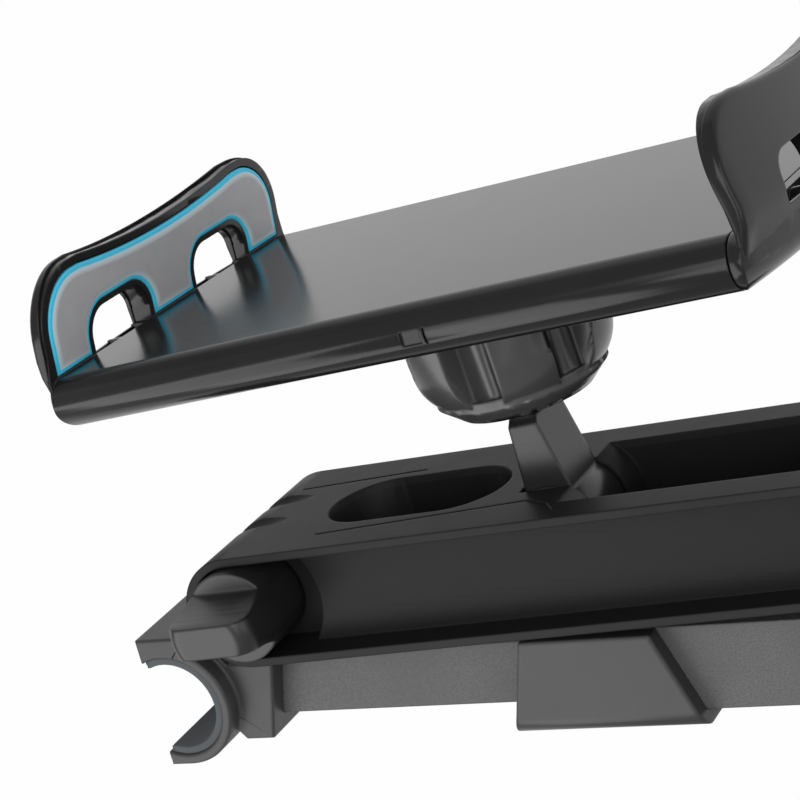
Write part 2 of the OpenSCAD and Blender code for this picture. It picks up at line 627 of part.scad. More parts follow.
// Slab on the leaning inner face of the jaw, between two depths, in the pad's outline
module pad_solid(d, deep, proud) intersection() {
    across(jaw_x - 5, 12) difference() {
        pad_outline(d);
        windows(1.2 + d);
    }
    translate([jaw_x, cradle_face, 0]) rotate([0, 0, jaw_lean])
        slab([-proud, -2, -cradle_h], [-deep, 2 * jaw_rise, cradle_h]);
}
module cradle_front() color("#3f4042") placed() at_cradle() {
    difference() {
        intersection() {
            union() {
                mirror([1, 0, 0]) jaw();
                across(-jaw_x - lap, jaw_x + lap + mouth_x) cradle_section();
            }
            mirror([1, 0, 0]) jaw_bow();
        }
        slab([cavity_left, cavity_low, -cavity_h / 2], [mouth_x + over, cavity_low + cavity_t, cavity_h / 2]);
        slab([cavity_left, cradle_off - over, -cavity_h / 2],
            [mouth_x + over, cavity_low + over, cavity_h / 2]);
        for (x = boss_x)
            translate([x, cradle_off, 0]) to_passenger() cylinder(r = screw_r, h = cradle_t - 1.6);
        slab([6, cradle_off + 3, half_h - 0.5], [9.6, cradle_off + 5.4, half_h + over]);
        slab([10.3, cradle_off + 2.8, half_h - 1.2], [10.65, cradle_off + 5.5, half_h + over]);
    }
    // Bosses of the back's screws and the anchor pegs of the springs
    for (x = boss_x) translate([x, cavity_low, 0]) to_passenger() ring(3.2, screw_r, cavity_t + 0.2);
    for (s = [-1, 1]) translate([peg_x, cavity_low + 0.4, s * spring_z]) to_passenger()
        cylinder(r = 1.5, h = cavity_t);
}
module cradle_back() color("#2f3032") placed() at_cradle() {
    difference() {
        slab([cavity_left, cradle_off, -cavity_h / 2], [mouth_x, cavity_low, cavity_h / 2]);
        for (x = boss_x) translate([x, cradle_off - over, 0]) to_passenger() {
            cylinder(r = screw_r, h = 2 * cover_t);
            cylinder(r = 2.5, h = over + 1);
        }
    }
    // Socket: four fingers round the pressure cup and the ball
    difference() {
        translate([0, -0.6, 0]) to_passenger() ring(thread_r, cup_r, cradle_off + 0.6);
        for (a = [0, 90]) rotate([0, a + 20, 0]) slab([-2 * thread_r, -over, -0.6], [2 * thread_r, 8, 0.6]);
    }
}
module back_screws() color("#8b8d90") placed() at_cradle() for (x = boss_x)
    translate([x, cradle_off + 0.1, 0]) to_passenger() {
        cylinder(r = 2.4, h = 0.9);
        cylinder(r = screw_r, h = cradle_t - 2.4);
    }
module fixed_jaw_pad() color("#949496") placed() at_cradle() mirror([1, 0, 0])
    pad_solid(0.05, -jaw_seat, jaw_pad_t - jaw_seat);
module jaw_springs() color("#9a9ca0") placed() at_cradle() for (s = [-1, 1])
    translate([peg_x + 1.8, cavity_low + cavity_t / 2, s * spring_z]) rotate([0, 90, 0])
        ring(spring_r, spring_r - 0.6, spring_hook - peg_x - 2.1);

module tray_tongue(g) slab(
    [mouth_x, cavity_low + tray_play - g, -cavity_h / 2 + 6 - g],
    [jaw_x + 1.5 + g, cavity_low + tray_play + tray_t + g, cavity_h / 2 - 6 + g]);
module sliding_jaw() color("#3a3b3d") placed() at_cradle() difference() {
    intersection() {
        union() {
            jaw();
            across(mouth_x + seam, jaw_x + lap - mouth_x - seam) cradle_section();
        }
        jaw_bow();
    }
    tray_tongue(0);
    for (s = [-1, 1]) translate([tray_screw_x, cradle_off - over, s * tray_screw_z]) to_passenger() {
        cylinder(r = screw_r, h = cradle_t - 1);
        cylinder(r = tray_head_r + 0.1, h = over + 0.9);
    }
}
module sliding_tray() color("#303133") placed() at_cradle() difference() {
    union() {
        slab([tray_left, cavity_low + tray_play, -cavity_h / 2 + tray_play],
            [mouth_x + seam, cavity_low + tray_play + tray_t, cavity_h / 2 - tray_play]);
        tray_tongue(0);
    }
    for (s = [-1, 1]) slab([tray_left - over, cradle_off, s * spring_z - spring_slot / 2],
        [spring_hook, cradle_face, s * spring_z + spring_slot / 2]);
    slab([tray_left - over, cradle_off, -boss_slot / 2],
        [boss_x[1] + boss_slot / 2, cradle_face, boss_slot / 2]);
    for (s = [-1, 1]) translate([tray_screw_x, cradle_off - over, s * tray_screw_z]) to_passenger()
        cylinder(r = screw_r, h = cradle_t);
}
module tray_screws() color("#8b8d90") placed() at_cradle() for (s = [-1, 1])
    translate([tray_screw_x, cradle_off + 0.1, s * tray_screw_z]) to_passenger() {
        cylinder(r = tray_head_r, h = 0.8);
        cylinder(r = screw_r, h = cradle_t - 3);
    }
module sliding_jaw_pad() color("#949496") placed() at_cradle()
    pad_solid(0.05, -jaw_seat, jaw_pad_t - jaw_seat);

fixed_block();
fixed_pad();
inner_bar();
clamp_bolt();
block_screws();
base_spring();
outer_tube();
tube_bracket();
sliding_block();
sliding_pad();
tube_screws();
arm_beam();
swing_washers();
hinge_pin();
pin_cap();
hinge_washers();
clamp_knob();
knob_insert();
link();
ball_stud();
ball_liner();
pressure_cup();
clamp_ring();
lock_nut();
cradle_front();
cradle_back();
back_screws();
fixed_jaw_pad();
jaw_springs();
sliding_jaw();
sliding_tray();
tray_screws();
sliding_jaw_pad();
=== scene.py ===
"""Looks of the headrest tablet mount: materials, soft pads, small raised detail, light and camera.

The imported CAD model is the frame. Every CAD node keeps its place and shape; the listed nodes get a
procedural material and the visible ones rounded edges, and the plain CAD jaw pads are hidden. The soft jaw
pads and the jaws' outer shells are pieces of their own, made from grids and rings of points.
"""

import json
import logging
from dataclasses import dataclass
from enum import Enum
from typing import Callable, Sequence

import bmesh
import bpy
import numpy as np
from mathutils import Matrix, Vector
from mathutils.geometry import delaunay_2d_cdt


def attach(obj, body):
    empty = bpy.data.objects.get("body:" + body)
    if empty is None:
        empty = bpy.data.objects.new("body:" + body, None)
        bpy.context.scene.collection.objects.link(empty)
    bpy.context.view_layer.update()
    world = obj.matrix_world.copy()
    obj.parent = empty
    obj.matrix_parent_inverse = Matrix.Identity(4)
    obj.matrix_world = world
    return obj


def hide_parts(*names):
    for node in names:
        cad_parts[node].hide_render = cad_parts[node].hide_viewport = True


MM = 0.001
Socket = bpy.types.NodeSocket
Colour = tuple[float, float, float, float]
LOG = logging.getLogger("headrest_mount")
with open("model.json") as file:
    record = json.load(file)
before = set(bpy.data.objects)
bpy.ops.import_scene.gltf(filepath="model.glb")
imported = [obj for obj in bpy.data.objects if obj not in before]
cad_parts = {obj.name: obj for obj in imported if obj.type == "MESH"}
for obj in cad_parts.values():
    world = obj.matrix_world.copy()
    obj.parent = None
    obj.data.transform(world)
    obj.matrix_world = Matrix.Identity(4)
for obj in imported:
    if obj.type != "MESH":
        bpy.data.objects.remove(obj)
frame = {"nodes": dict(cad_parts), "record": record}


class Slot(Enum):
    """Material slots of the record for the jaw pads and the cradle shell; the pieces of this scene don't
    read them.
    """

    JAW_PAD = "jaw_pad"
    CRADLE_SHELL = "cradle_shell"


@dataclass(frozen=True)
class Place:
    """Three axes and an origin in the row frame.

    Args:
        origin: The origin in metres.
        x: First axis.
        y: Second axis.
        z: Third axis.
    """

    origin: Sequence[float]
    x: Sequence[float]
    y: Sequence[float]
    z: Sequence[float]

    def at(self, points_mm: np.ndarray) -> np.ndarray:
        """Turns points in mm along the axes into points of the row frame in metres."""
        return np.array(self.origin) + points_mm @ np.array([self.x, self.y, self.z]) * MM


def cradle_place() -> Place:
    """Returns the cradle's axes at the ball's centre, from the record's joints."""
    joints = {joint["name"]: joint for joint in frame["record"]["behaviour"]["joints"]}
    spin = joints["ball_spin"]
    return Place(spin["pos_m"], joints["jaw_slide"]["axis"], spin["axis"], joints["ball_tilt_side"]["axis"])


def linear(hex_colour: str) -> Colour:
    """Turns an sRGB hex colour into the linear values that Blender's sockets take.

    Args:
        hex_colour: Six hex digits, with or without a leading hash.

    Returns:
        Red, green, blue and an alpha of 1.
    """
    digits = hex_colour.lstrip("#")
    s = np.array([int(digits[i:i + 2], 16) for i in (0, 2, 4)]) / 255.0
    rgb = np.where(s <= 0.04045, s / 12.92, ((s + 0.055) / 1.055) ** 2.4)
    return (float(rgb[0]), float(rgb[1]), float(rgb[2]), 1.0)


@dataclass(frozen=True)
class Finish:
    """What a moulded surface is made of.

    Args:
        name: Name of the material.
        colour: sRGB hex colour of the surface.
        shade: sRGB hex colour that the surface drifts towards in slow patches.
        roughness: Roughness of the surface.
        drift: How far the roughness drifts either way.
        grain_mm: Size of the grain in mm.
        grain_depth_mm: Depth of the grain in mm.
        metallic: 1 for bare metal.
        specular: Specular level of what isn't metal.
        fleck: sRGB hex colour of the fine grain's hollows, where it shows.
        edge_mm: Radius over which the shading turns round an edge.
    """

    name: str
    colour: str
    shade: str
    roughness: float
    drift: float = 0.05
    grain_mm: float = 0.5
    grain_depth_mm: float = 0.02
    metallic: float = 0.0
    specular: float = 0.5
    fleck: str = ""
    edge_mm: float = 0.7


class Shader:
    """A node tree that is built one node at a time."""

    def __init__(self, name: str) -> None:
        """Makes an empty material of that name."""
        self.material = bpy.data.materials.new(name)
        self.material.use_nodes = True
        self.tree = self.material.node_tree
        self.tree.nodes.clear()

    def add(self, kind: str, settings: dict | None = None, **inputs: object) -> bpy.types.Node:
        """Adds a node, sets its properties and fills or links its inputs.

        Args:
            kind: Type name of the node.
            settings: Properties of the node.
            inputs: Values or output sockets by input name, with _ in place of a space.

        Returns:
            The new node.
        """
        made = self.tree.nodes.new(kind)
        for key, value in (settings or {}).items():
            setattr(made, key, value)
        for key, value in inputs.items():
            numbered = key[0] == "n" and key[1:].isdigit()
            socket = made.inputs[int(key[1:]) if numbered else key.replace("_", " ")]
            if isinstance(value, bpy.types.NodeSocket):
                self.tree.links.new(value, socket)
            else:
                socket.default_value = value
        return made

    def maths(self, operation: str, a: Socket | float, b: Socket | float = 0.0) -> Socket:
        """Adds a Math node and returns its output socket."""
        return self.add("ShaderNodeMath", {"operation": operation}, n0=a, n1=b).outputs[0]

    def noise(self, where: Socket, size_mm: float, detail: float = 2.0, roughness: float = 0.5) -> Socket:
        """Adds noise with features of a size in mm and returns its value socket."""
        made = self.add(
            "ShaderNodeTexNoise", {}, Vector=where, Scale=1.0 / (size_mm * MM), Detail=detail,
            Roughness=roughness,
        )
        return made.outputs["Fac"]

    def spread(
        self, value: Socket, low: float, high: float, to_low: float = 0.0, to_high: float = 1.0,
    ) -> Socket:
        """Maps a range of values to another, clamped, and returns the socket."""
        made = self.add("ShaderNodeMapRange", {"clamp": True}, Value=value)
        for key, number in (("From Min", low), ("From Max", high), ("To Min", to_low), ("To Max", to_high)):
            made.inputs[key].default_value = number
        return made.outputs["Result"]

    def mix(self, factor: Socket | float, a: Socket | Colour, b: Socket | Colour) -> Socket:
        """Mixes two colours and returns the socket."""
        made = self.tree.nodes.new("ShaderNodeMix")
        made.data_type = "RGBA"
        for index, value in ((0, factor), (6, a), (7, b)):
            if isinstance(value, bpy.types.NodeSocket):
                self.tree.links.new(value, made.inputs[index])
            else:
                made.inputs[index].default_value = value
        return made.outputs[2]


def moulded(
    finish: Finish, zone: Callable[[Shader, Socket], Socket] | None = None, inner: Finish | None = None,
) -> bpy.types.Material:
    """Makes a material of fine grain over slow patches of colour and gloss.

    Args:
        finish: The finish to make.
        zone: Makes a socket that is 1 where the inner finish shows, from the shader and the coordinates.
        inner: The finish of that zone; on the arm its darker colour is painted shade.

    Returns:
        The material.
    """
    s = Shader(finish.name)
    where = s.add("ShaderNodeTexCoord").outputs["Object"]
    patches = s.noise(where, 18.0, 3.0, 0.6)
    cloud = s.noise(where, 5.0, 4.0, 0.6)
    grain = s.noise(where, finish.grain_mm, 2.0, 0.55)
    colour = s.mix(s.spread(patches, 0.35, 0.65), linear(finish.colour), linear(finish.shade))
    rough = s.maths("ADD", finish.roughness - finish.drift / 2, s.maths("MULTIPLY", cloud, finish.drift))
    if zone:
        inside = zone(s, where)
        # Painted shade where the zone is 1: the inner finish's darker colour
        colour = s.mix(inside, colour, linear(inner.colour))
        rough = s.maths("ADD", rough, s.maths("MULTIPLY", inside, inner.roughness - finish.roughness))
        change = s.maths("MULTIPLY", inside, inner.specular - finish.specular)
        mirror = s.maths("ADD", finish.specular, change)
    if finish.fleck:
        colour = s.mix(s.spread(grain, 0.38, 0.62), linear(finish.fleck), colour)
    height = s.maths("MULTIPLY", grain, finish.grain_depth_mm * MM)
    edge = s.add("ShaderNodeBevel", {"samples": 6}, Radius=finish.edge_mm * MM)
    bump = s.add("ShaderNodeBump", {}, Strength=1.0, Distance=1.0, Height=height, Normal=edge.outputs[0])
    skin = s.add(
        "ShaderNodeBsdfPrincipled", {}, Base_Color=colour, Roughness=rough, Metallic=finish.metallic,
        Normal=bump.outputs[0],
    )
    if zone:
        s.tree.links.new(mirror, skin.inputs["Specular IOR Level"])
    elif not finish.metallic:
        skin.inputs["Specular IOR Level"].default_value = finish.specular
    s.add("ShaderNodeOutputMaterial", {}, Surface=skin.outputs[0])
    return s.material


# Injection moulded ABS with a fine spark-eroded texture, black
SATIN_BLACK = Finish(
    "satin_black_abs", "#3c3c3d", "#373738", 0.4, 0.08, 0.35, 0.012, specular=0.4, edge_mm=0.9,
)
# The same ABS on the arm, a little darker
ARM_BLACK = Finish("arm_abs", "#2b2b2c", "#272728", 0.46, 0.08, 0.35, 0.012, specular=0.13, edge_mm=0.6)
# The same ABS inside the arm's recess, a little smoother as polished by the mould's core; its darker colour
# there is painted shade
RECESS_SHADE_BLACK = Finish("recess_painted_shade_abs", "#232324", "#232324", 0.4, specular=0.12)
# The same ABS polished, on the link
LINK_BLACK = Finish("link_abs", "#29292a", "#252526", 0.24, 0.06, 0.35, 0.004, specular=0.5, edge_mm=0.9)
# Injection moulded ABS in dark grey with a coarse spark-eroded texture
BAR_GREY = Finish(
    "grained_grey_abs", "#636364", "#5b5b5c", 0.55, 0.08, 0.32, 0.04, specular=0.35,
    fleck="#535354", edge_mm=0.6,
)
# Smooth dark grey ABS
BRACKET_GREY = Finish(
    "smooth_grey_abs", "#363637", "#323233", 0.3, 0.06, 0.4, 0.008, specular=0.4, edge_mm=1.2,
)
# Injection moulded ABS for the knob, satin
KNOB_BLACK = Finish("knob_abs", "#272728", "#232324", 0.3, 0.06, 0.3, 0.006, specular=0.5, edge_mm=0.8)
# The same for the nut, greyer
NUT_GREY = Finish("nut_abs", "#434344", "#3e3e3f", 0.24, 0.06, 0.3, 0.004, specular=0.6, edge_mm=0.8)
# Polished injection moulded ABS, black
GLOSS_BLACK = Finish(
    "gloss_black_abs", "#1e1e1f", "#1a1a1b", 0.18, 0.05, 0.8, 0.002, specular=0.33, edge_mm=0.4,
)
# Plain black polypropylene of the inner pieces
INNER_BLACK = Finish("inner_polypropylene", "#252526", "#202021", 0.5, 0.08, 0.5, 0.01)
# Thermoplastic rubber of the post liners
LINER_GREY = Finish("liner_rubber", "#565a5d", "#505356", 0.75, 0.1, 0.5, 0.03, specular=0.3, edge_mm=0.4)
# Zinc plated steel
ZINC = Finish("zinc_plated_steel", "#b9bcc0", "#a9acb0", 0.3, 0.12, 0.3, 0.004, metallic=1.0, edge_mm=0.2)
# Drawn spring steel
SPRING_STEEL = Finish(
    "spring_steel", "#a8aaae", "#989a9e", 0.35, 0.1, 0.3, 0.004, metallic=1.0, edge_mm=0.1,
)
# Vulcanised fibre
FIBRE = Finish("black_fibre", "#161617", "#121213", 0.7, 0.1, 0.3, 0.01, edge_mm=0.1)
# Turned brass
BRASS = Finish("turned_brass", "#c9a55c", "#b8944e", 0.3, 0.1, 0.3, 0.004, metallic=1.0, edge_mm=0.2)
# Natural polyamide
NYLON = Finish("natural_nylon", "#d8d8d4", "#cfcfca", 0.45, 0.1, 0.5, 0.008, edge_mm=0.3)

NODE_FINISH = {
    SATIN_BLACK: ("fixed_block", "sliding_block", "pin_cap"),
    LINK_BLACK: ("link",),
    BAR_GREY: ("inner_bar", "outer_tube"),
    BRACKET_GREY: ("tube_bracket",),
    KNOB_BLACK: ("clamp_knob",),
    NUT_GREY: ("lock_nut",),
    GLOSS_BLACK: ("cradle_front", "sliding_jaw"),
    INNER_BLACK: ("cradle_back", "sliding_tray", "pressure_cup"),
    LINER_GREY: ("fixed_pad", "sliding_pad"),
    ZINC: (
        "clamp_bolt", "block_screws", "tube_screws", "hinge_pin", "back_screws", "tray_screws", "ball_stud",
    ),
    SPRING_STEEL: ("base_spring", "jaw_springs"),
    FIBRE: ("swing_washers", "hinge_washers"),
    BRASS: ("knob_insert",),
    NYLON: ("ball_liner", "clamp_ring"),
}


@dataclass(frozen=True)
class ArmSizes:
    """Sizes of the arm's recess, in mm and degrees, for the mask of its painted shade.

    Args:
        axis_x: Place of the swing axis along the row's X.
        axis_y: Place of the swing axis along the row's Y.
        turn: Angle of the arm to the base.
        length: Length between the centres of the arm's round ends.
        inner_r: Radius of the recess at those ends.
    """

    axis_x: float = -20.5
    axis_y: float = -18.5
    turn: float = 2.4
    length: float = 128.0
    inner_r: float = 9.35

    def zone(self, s: Shader, where: Socket) -> Socket:
        """Makes a socket that is 1 inside the recess, where the arm's colour is painted shade.

        That is where the distance to the arm's middle line is below the inner radius.

        Args:
            s: The shader to build in.
            where: Object coordinates.

        Returns:
            The socket.
        """
        turn = np.radians(self.turn)
        along = (-np.cos(turn), -np.sin(turn), 0.0)
        across = (np.sin(turn), -np.cos(turn), 0.0)
        axis = (self.axis_x * MM, self.axis_y * MM, 0.0)
        kind = "ShaderNodeVectorMath"
        place = s.add(kind, {"operation": "SUBTRACT"}, n0=where, n1=axis).outputs["Vector"]
        u = s.add(kind, {"operation": "DOT_PRODUCT"}, n0=place, n1=along).outputs["Value"]
        v = s.add(kind, {"operation": "DOT_PRODUCT"}, n0=place, n1=across).outputs["Value"]
        before = s.maths("MAXIMUM", s.maths("MULTIPLY", u, -1.0), 0.0)
        past = s.maths("MAXIMUM", before, s.maths("SUBTRACT", u, self.length * MM))
        beside = s.maths("POWER", s.maths("ABSOLUTE", v), 2.0)
        reach = s.maths("SQRT", s.maths("ADD", s.maths("POWER", past, 2.0), beside))
        return s.maths("LESS_THAN", reach, (self.inner_r + 0.15) * MM)


# Radius of the rounding on a node's edges in mm; the other nodes keep theirs sharp
EDGE_MM = {
    "fixed_block": 0.8, "sliding_block": 0.8, "arm_beam": 0.4, "link": 0.8, "inner_bar": 0.5,
    "outer_tube": 0.5, "tube_bracket": 1.4, "clamp_knob": 0.8, "lock_nut": 0.6, "cradle_front": 0.3,
    "sliding_jaw": 0.3, "cradle_back": 0.25, "fixed_pad": 0.25, "sliding_pad": 0.25,
}


def round_edges(node: bpy.types.Object, radius_mm: float) -> None:
    """Rounds the sharp edges of a CAD node with modifiers, so its own points stay as they are.

    Args:
        node: The node.
        radius_mm: Radius of the rounding.
    """
    weld = node.modifiers.new("weld", "WELD")
    weld.merge_threshold = 0.002 * MM
    bevel = node.modifiers.new("edges", "BEVEL")
    bevel.width = radius_mm * MM
    bevel.segments = 2
    bevel.limit_method = "ANGLE"
    bevel.angle_limit = np.radians(32)
    bevel.harden_normals = True
    bevel.use_clamp_overlap = True


class Model:
    """The CAD nodes with their finishes and rounded edges."""

    def __init__(self, nodes: dict[str, bpy.types.Object]) -> None:
        """Keeps the CAD nodes by name."""
        self.nodes = nodes

    def paint(self, name: str, material: bpy.types.Material) -> None:
        """Gives a node one material."""
        mesh = self.nodes[name].data
        mesh.materials.clear()
        mesh.materials.append(material)

    def finish(self) -> None:
        """Gives every node its material and the visible ones rounded edges."""
        for finish, names in NODE_FINISH.items():
            material = moulded(finish)
            for name in names:
                self.paint(name, material)
            if finish is GLOSS_BLACK:
                jaw_shells(material)
        # Painted shade: inside the arm's recess the colour goes darker, by the zone's mask
        self.paint("arm_beam", moulded(ARM_BLACK, ArmSizes().zone, RECESS_SHADE_BLACK))
        for name, radius in EDGE_MM.items():
            round_edges(self.nodes[name], radius)


def arc(centre: Sequence[float], radius: float, start: float, end: float, steps: int) -> np.ndarray:
    """Returns points of a circle arc.

    Args:
        centre: The circle's centre.
        radius: Its radius.
        start: First angle in degrees.
        end: Last angle in degrees.
        steps: Number of points.
    """
    angle = np.radians(np.linspace(start, end, steps))
    return np.array(centre) + radius * np.stack([np.cos(angle), np.sin(angle)], axis=1)


@dataclass(frozen=True)
class PadSizes:
    """Sizes of a jaw pad in mm and degrees, as in the CAD source.

    Args:
        jaw_x: Distance of the jaw's foot from the cradle's middle.
        face_y: Height of the cradle's face.
        foot: Gap between the face and the pad.
        top: Height of the pad's horns.
        side: Half the pad's width.
        corner: Radius of the horns.
        dip: Depth of the dip between the horns.
        dip_half: Half the width of the dip.
        rib: Half the width of the rib between the openings, at the pad.
        opening: Width of an opening, at the pad.
        shoulder: Height over the face where an opening's arch starts.
        arch: Radius of that arch.
        seat: Depth of the pad's seat in the jaw.
        thick: Thickness of the pad.
        lean: Angle that the jaw leans inwards.
        edge: Radius of the pad's rounded edge.
        crown: Rise of the pad's middle over its edge.
        slope: Width of the band over which it rises.
    """

    jaw_x: float = 65.9
    face_y: float = 23.3
    foot: float = 0.35
    top: float = 40.35
    side: float = 39.55
    corner: float = 10.15
    dip: float = 1.9
    dip_half: float = 27.0
    rib: float = 6.95
    opening: float = 21.5
    shoulder: float = 2.6
    arch: float = 6.25
    seat: float = 0.9
    thick: float = 1.1
    lean: float = 11.0
    edge: float = 0.45
    crown: float = 0.3
    slope: float = 1.6


class JawPad:
    """A soft pad on a jaw: crowned, with rounded edges and a coloured line round its outline."""

    def __init__(self, name: str, sizes: PadSizes, place: Place, side: int) -> None:
        """Keeps the pad's name, sizes, the cradle's axes, and 1 or -1 for the end that it is on."""
        self.name = name
        self.sizes = sizes
        self.place = place
        self.side = side

    def outline(self) -> np.ndarray:
        """Returns the outline in (Z, Y): the dip, then a horn, a side and an opening, and these mirrored.

        The dip is a circle arc through the horns' flat tops; each opening is a pair of upright lines
        joined by two quarter circles and a flat.
        """
        z = self.sizes
        low = z.face_y + z.foot
        dip_r = (z.dip_half ** 2 + z.dip ** 2) / (2 * z.dip)
        reach = np.degrees(np.arcsin(z.dip_half / dip_r))
        middle = z.side - z.corner
        half = [
            arc((middle, z.top - z.corner), z.corner, 90, 0, 14),
            np.array([[z.side, low]]),
        ]
        arch_y = z.face_y + z.shoulder
        outer = arc((z.rib + z.opening - z.arch, arch_y), z.arch, 0, 90, 12)
        inner = arc((z.rib + z.arch, arch_y), z.arch, 90, 180, 12)
        foot = np.array([[z.rib + z.opening, low]])
        side = np.concatenate([*half, foot, outer, inner, np.array([[z.rib, low]])])
        dip = arc((0, z.top - z.dip + dip_r), dip_r, -90 - reach, -90 + reach, 40)
        mirrored = side[::-1] * np.array([-1.0, 1.0])
        return np.concatenate([dip, side, mirrored])

    def build(self) -> bpy.types.Object:
        """Makes the pad's mesh: rings drawn inwards from the outline along its normals, and a flat middle.

        A ring's height follows a quarter circle at the edge and then rises towards the crown with the
        square of the sine of its way in.
        """
        z = self.sizes
        line = self.outline()
        ahead = np.roll(line, -1, axis=0) - line
        ahead /= np.linalg.norm(ahead, axis=1, keepdims=True)
        behind = np.roll(ahead, 1, axis=0)
        normal = np.stack([ahead[:, 1] + behind[:, 1], -ahead[:, 0] - behind[:, 0]], axis=1)
        normal /= np.maximum(np.sum(normal * normal, axis=1, keepdims=True) / 2, 0.35)
        quarter = np.linspace(0, np.pi / 2, 5)
        way = np.linspace(0, 1, 9)[1:]
        inset = np.concatenate([[0.0, 0.0], z.edge * (1 - np.cos(quarter)), z.edge + z.slope * way])
        height = np.concatenate([
            [0.0, (z.thick - z.edge) / 2],
            z.thick - z.edge + z.edge * np.sin(quarter),
            z.thick + z.crown * np.sin(way * np.pi / 2) ** 2,
        ])
        walk = np.concatenate([[0.0], np.cumsum(np.hypot(np.diff(inset), np.diff(height)))])
        count = len(line)
        flat = line[None, :, :] + normal[None, :, :] * inset[:, None, None] * self.turn(line)
        out = z.seat - height[:, None] + np.zeros((1, count))
        lean = np.radians(z.lean)
        rise = flat[:, :, 1] - z.face_y
        x = z.jaw_x + out * np.cos(lean) - rise * np.sin(lean)
        y = z.face_y + out * np.sin(lean) + rise * np.cos(lean)
        points = np.stack([self.side * x, y, flat[:, :, 0]], axis=2).reshape(-1, 3)
        ring = np.arange(count)
        after = np.roll(ring, -1)
        quad = np.stack([ring, after, after + count, ring + count], axis=1)
        steps = np.arange(len(inset) - 1)[:, None, None] * count
        quads = (quad[None, :, :] + steps).reshape(-1, 4)
        last = (len(inset) - 1) * count
        caps = [(ring + last).tolist(), ring[::-1].tolist()]
        loops = quads.tolist() + caps
        mesh = bpy.data.meshes.new(self.name)
        mesh.from_pydata(self.place.at(points).tolist(), [], loops)
        smooth = np.ones(len(loops), dtype=bool)
        smooth[-2:] = False
        mesh.polygons.foreach_set("use_smooth", smooth)
        values = np.repeat(walk - walk[6], count)
        mesh.attributes.new("inset", "FLOAT", "POINT").data.foreach_set("value", values)
        mesh.update()
        mesh.validate()
        pad = bpy.data.objects.new(self.name, mesh)
        bpy.context.scene.collection.objects.link(pad)
        return pad

    def turn(self, line: np.ndarray) -> float:
        """Returns 1 or -1, so that the normals point inwards for either way round, by the shoelace area."""
        after = np.roll(line, -1, axis=0)
        area = np.sum(line[:, 0] * after[:, 1] - after[:, 0] * line[:, 1])
        return -1.0 if area > 0 else 1.0


@dataclass(frozen=True)
class ShellSizes:
    """Sizes of a jaw's outer shell in mm and degrees.

    Args:
        jaw_x: Distance of the jaw's inner foot from the cradle's middle.
        thick: Thickness of the jaw in its middle.
        face_y: Height of the cradle's face.
        low_y: Height where the shell ends below.
        top: Height of the horns.
        side: Half the width at the horns.
        foot_side: Half the width at the lower end.
        horn: Radius of the horns.
        dip: Depth of the dip between the horns.
        dip_half: Half the width of the dip.
        lean: Angle that the jaw leans inwards.
        cad_bow: Radius of the CAD jaw's bow in plan.
        bow: Radius of the shell's bow in plan.
        grow: How far the shell stands past the CAD jaw's outline.
        lift: How far it stands past the CAD jaw's outer face.
        edge: Radius of the shell's rounded edge.
        root: Depth of the shell's back under the CAD jaw's outer face.
        rib: Half the width of the rib between the openings.
        opening: Width of an opening.
        rise: Height of an opening.
        round: Radius of an opening's upper corners.
        step: Spacing of the inner points.
    """

    jaw_x: float = 65.9
    thick: float = 4.8
    face_y: float = 23.3
    low_y: float = 17.5
    top: float = 41.8
    side: float = 41.4
    foot_side: float = 42.4
    horn: float = 11.6
    dip: float = 1.9
    dip_half: float = 27.0
    lean: float = 11.0
    cad_bow: float = 212.0
    bow: float = 350.0
    grow: float = 0.45
    lift: float = 0.25
    edge: float = 1.0
    root: float = 0.5
    rib: float = 8.4
    opening: float = 18.6
    rise: float = 7.4
    round: float = 4.8
    step: float = 2.4


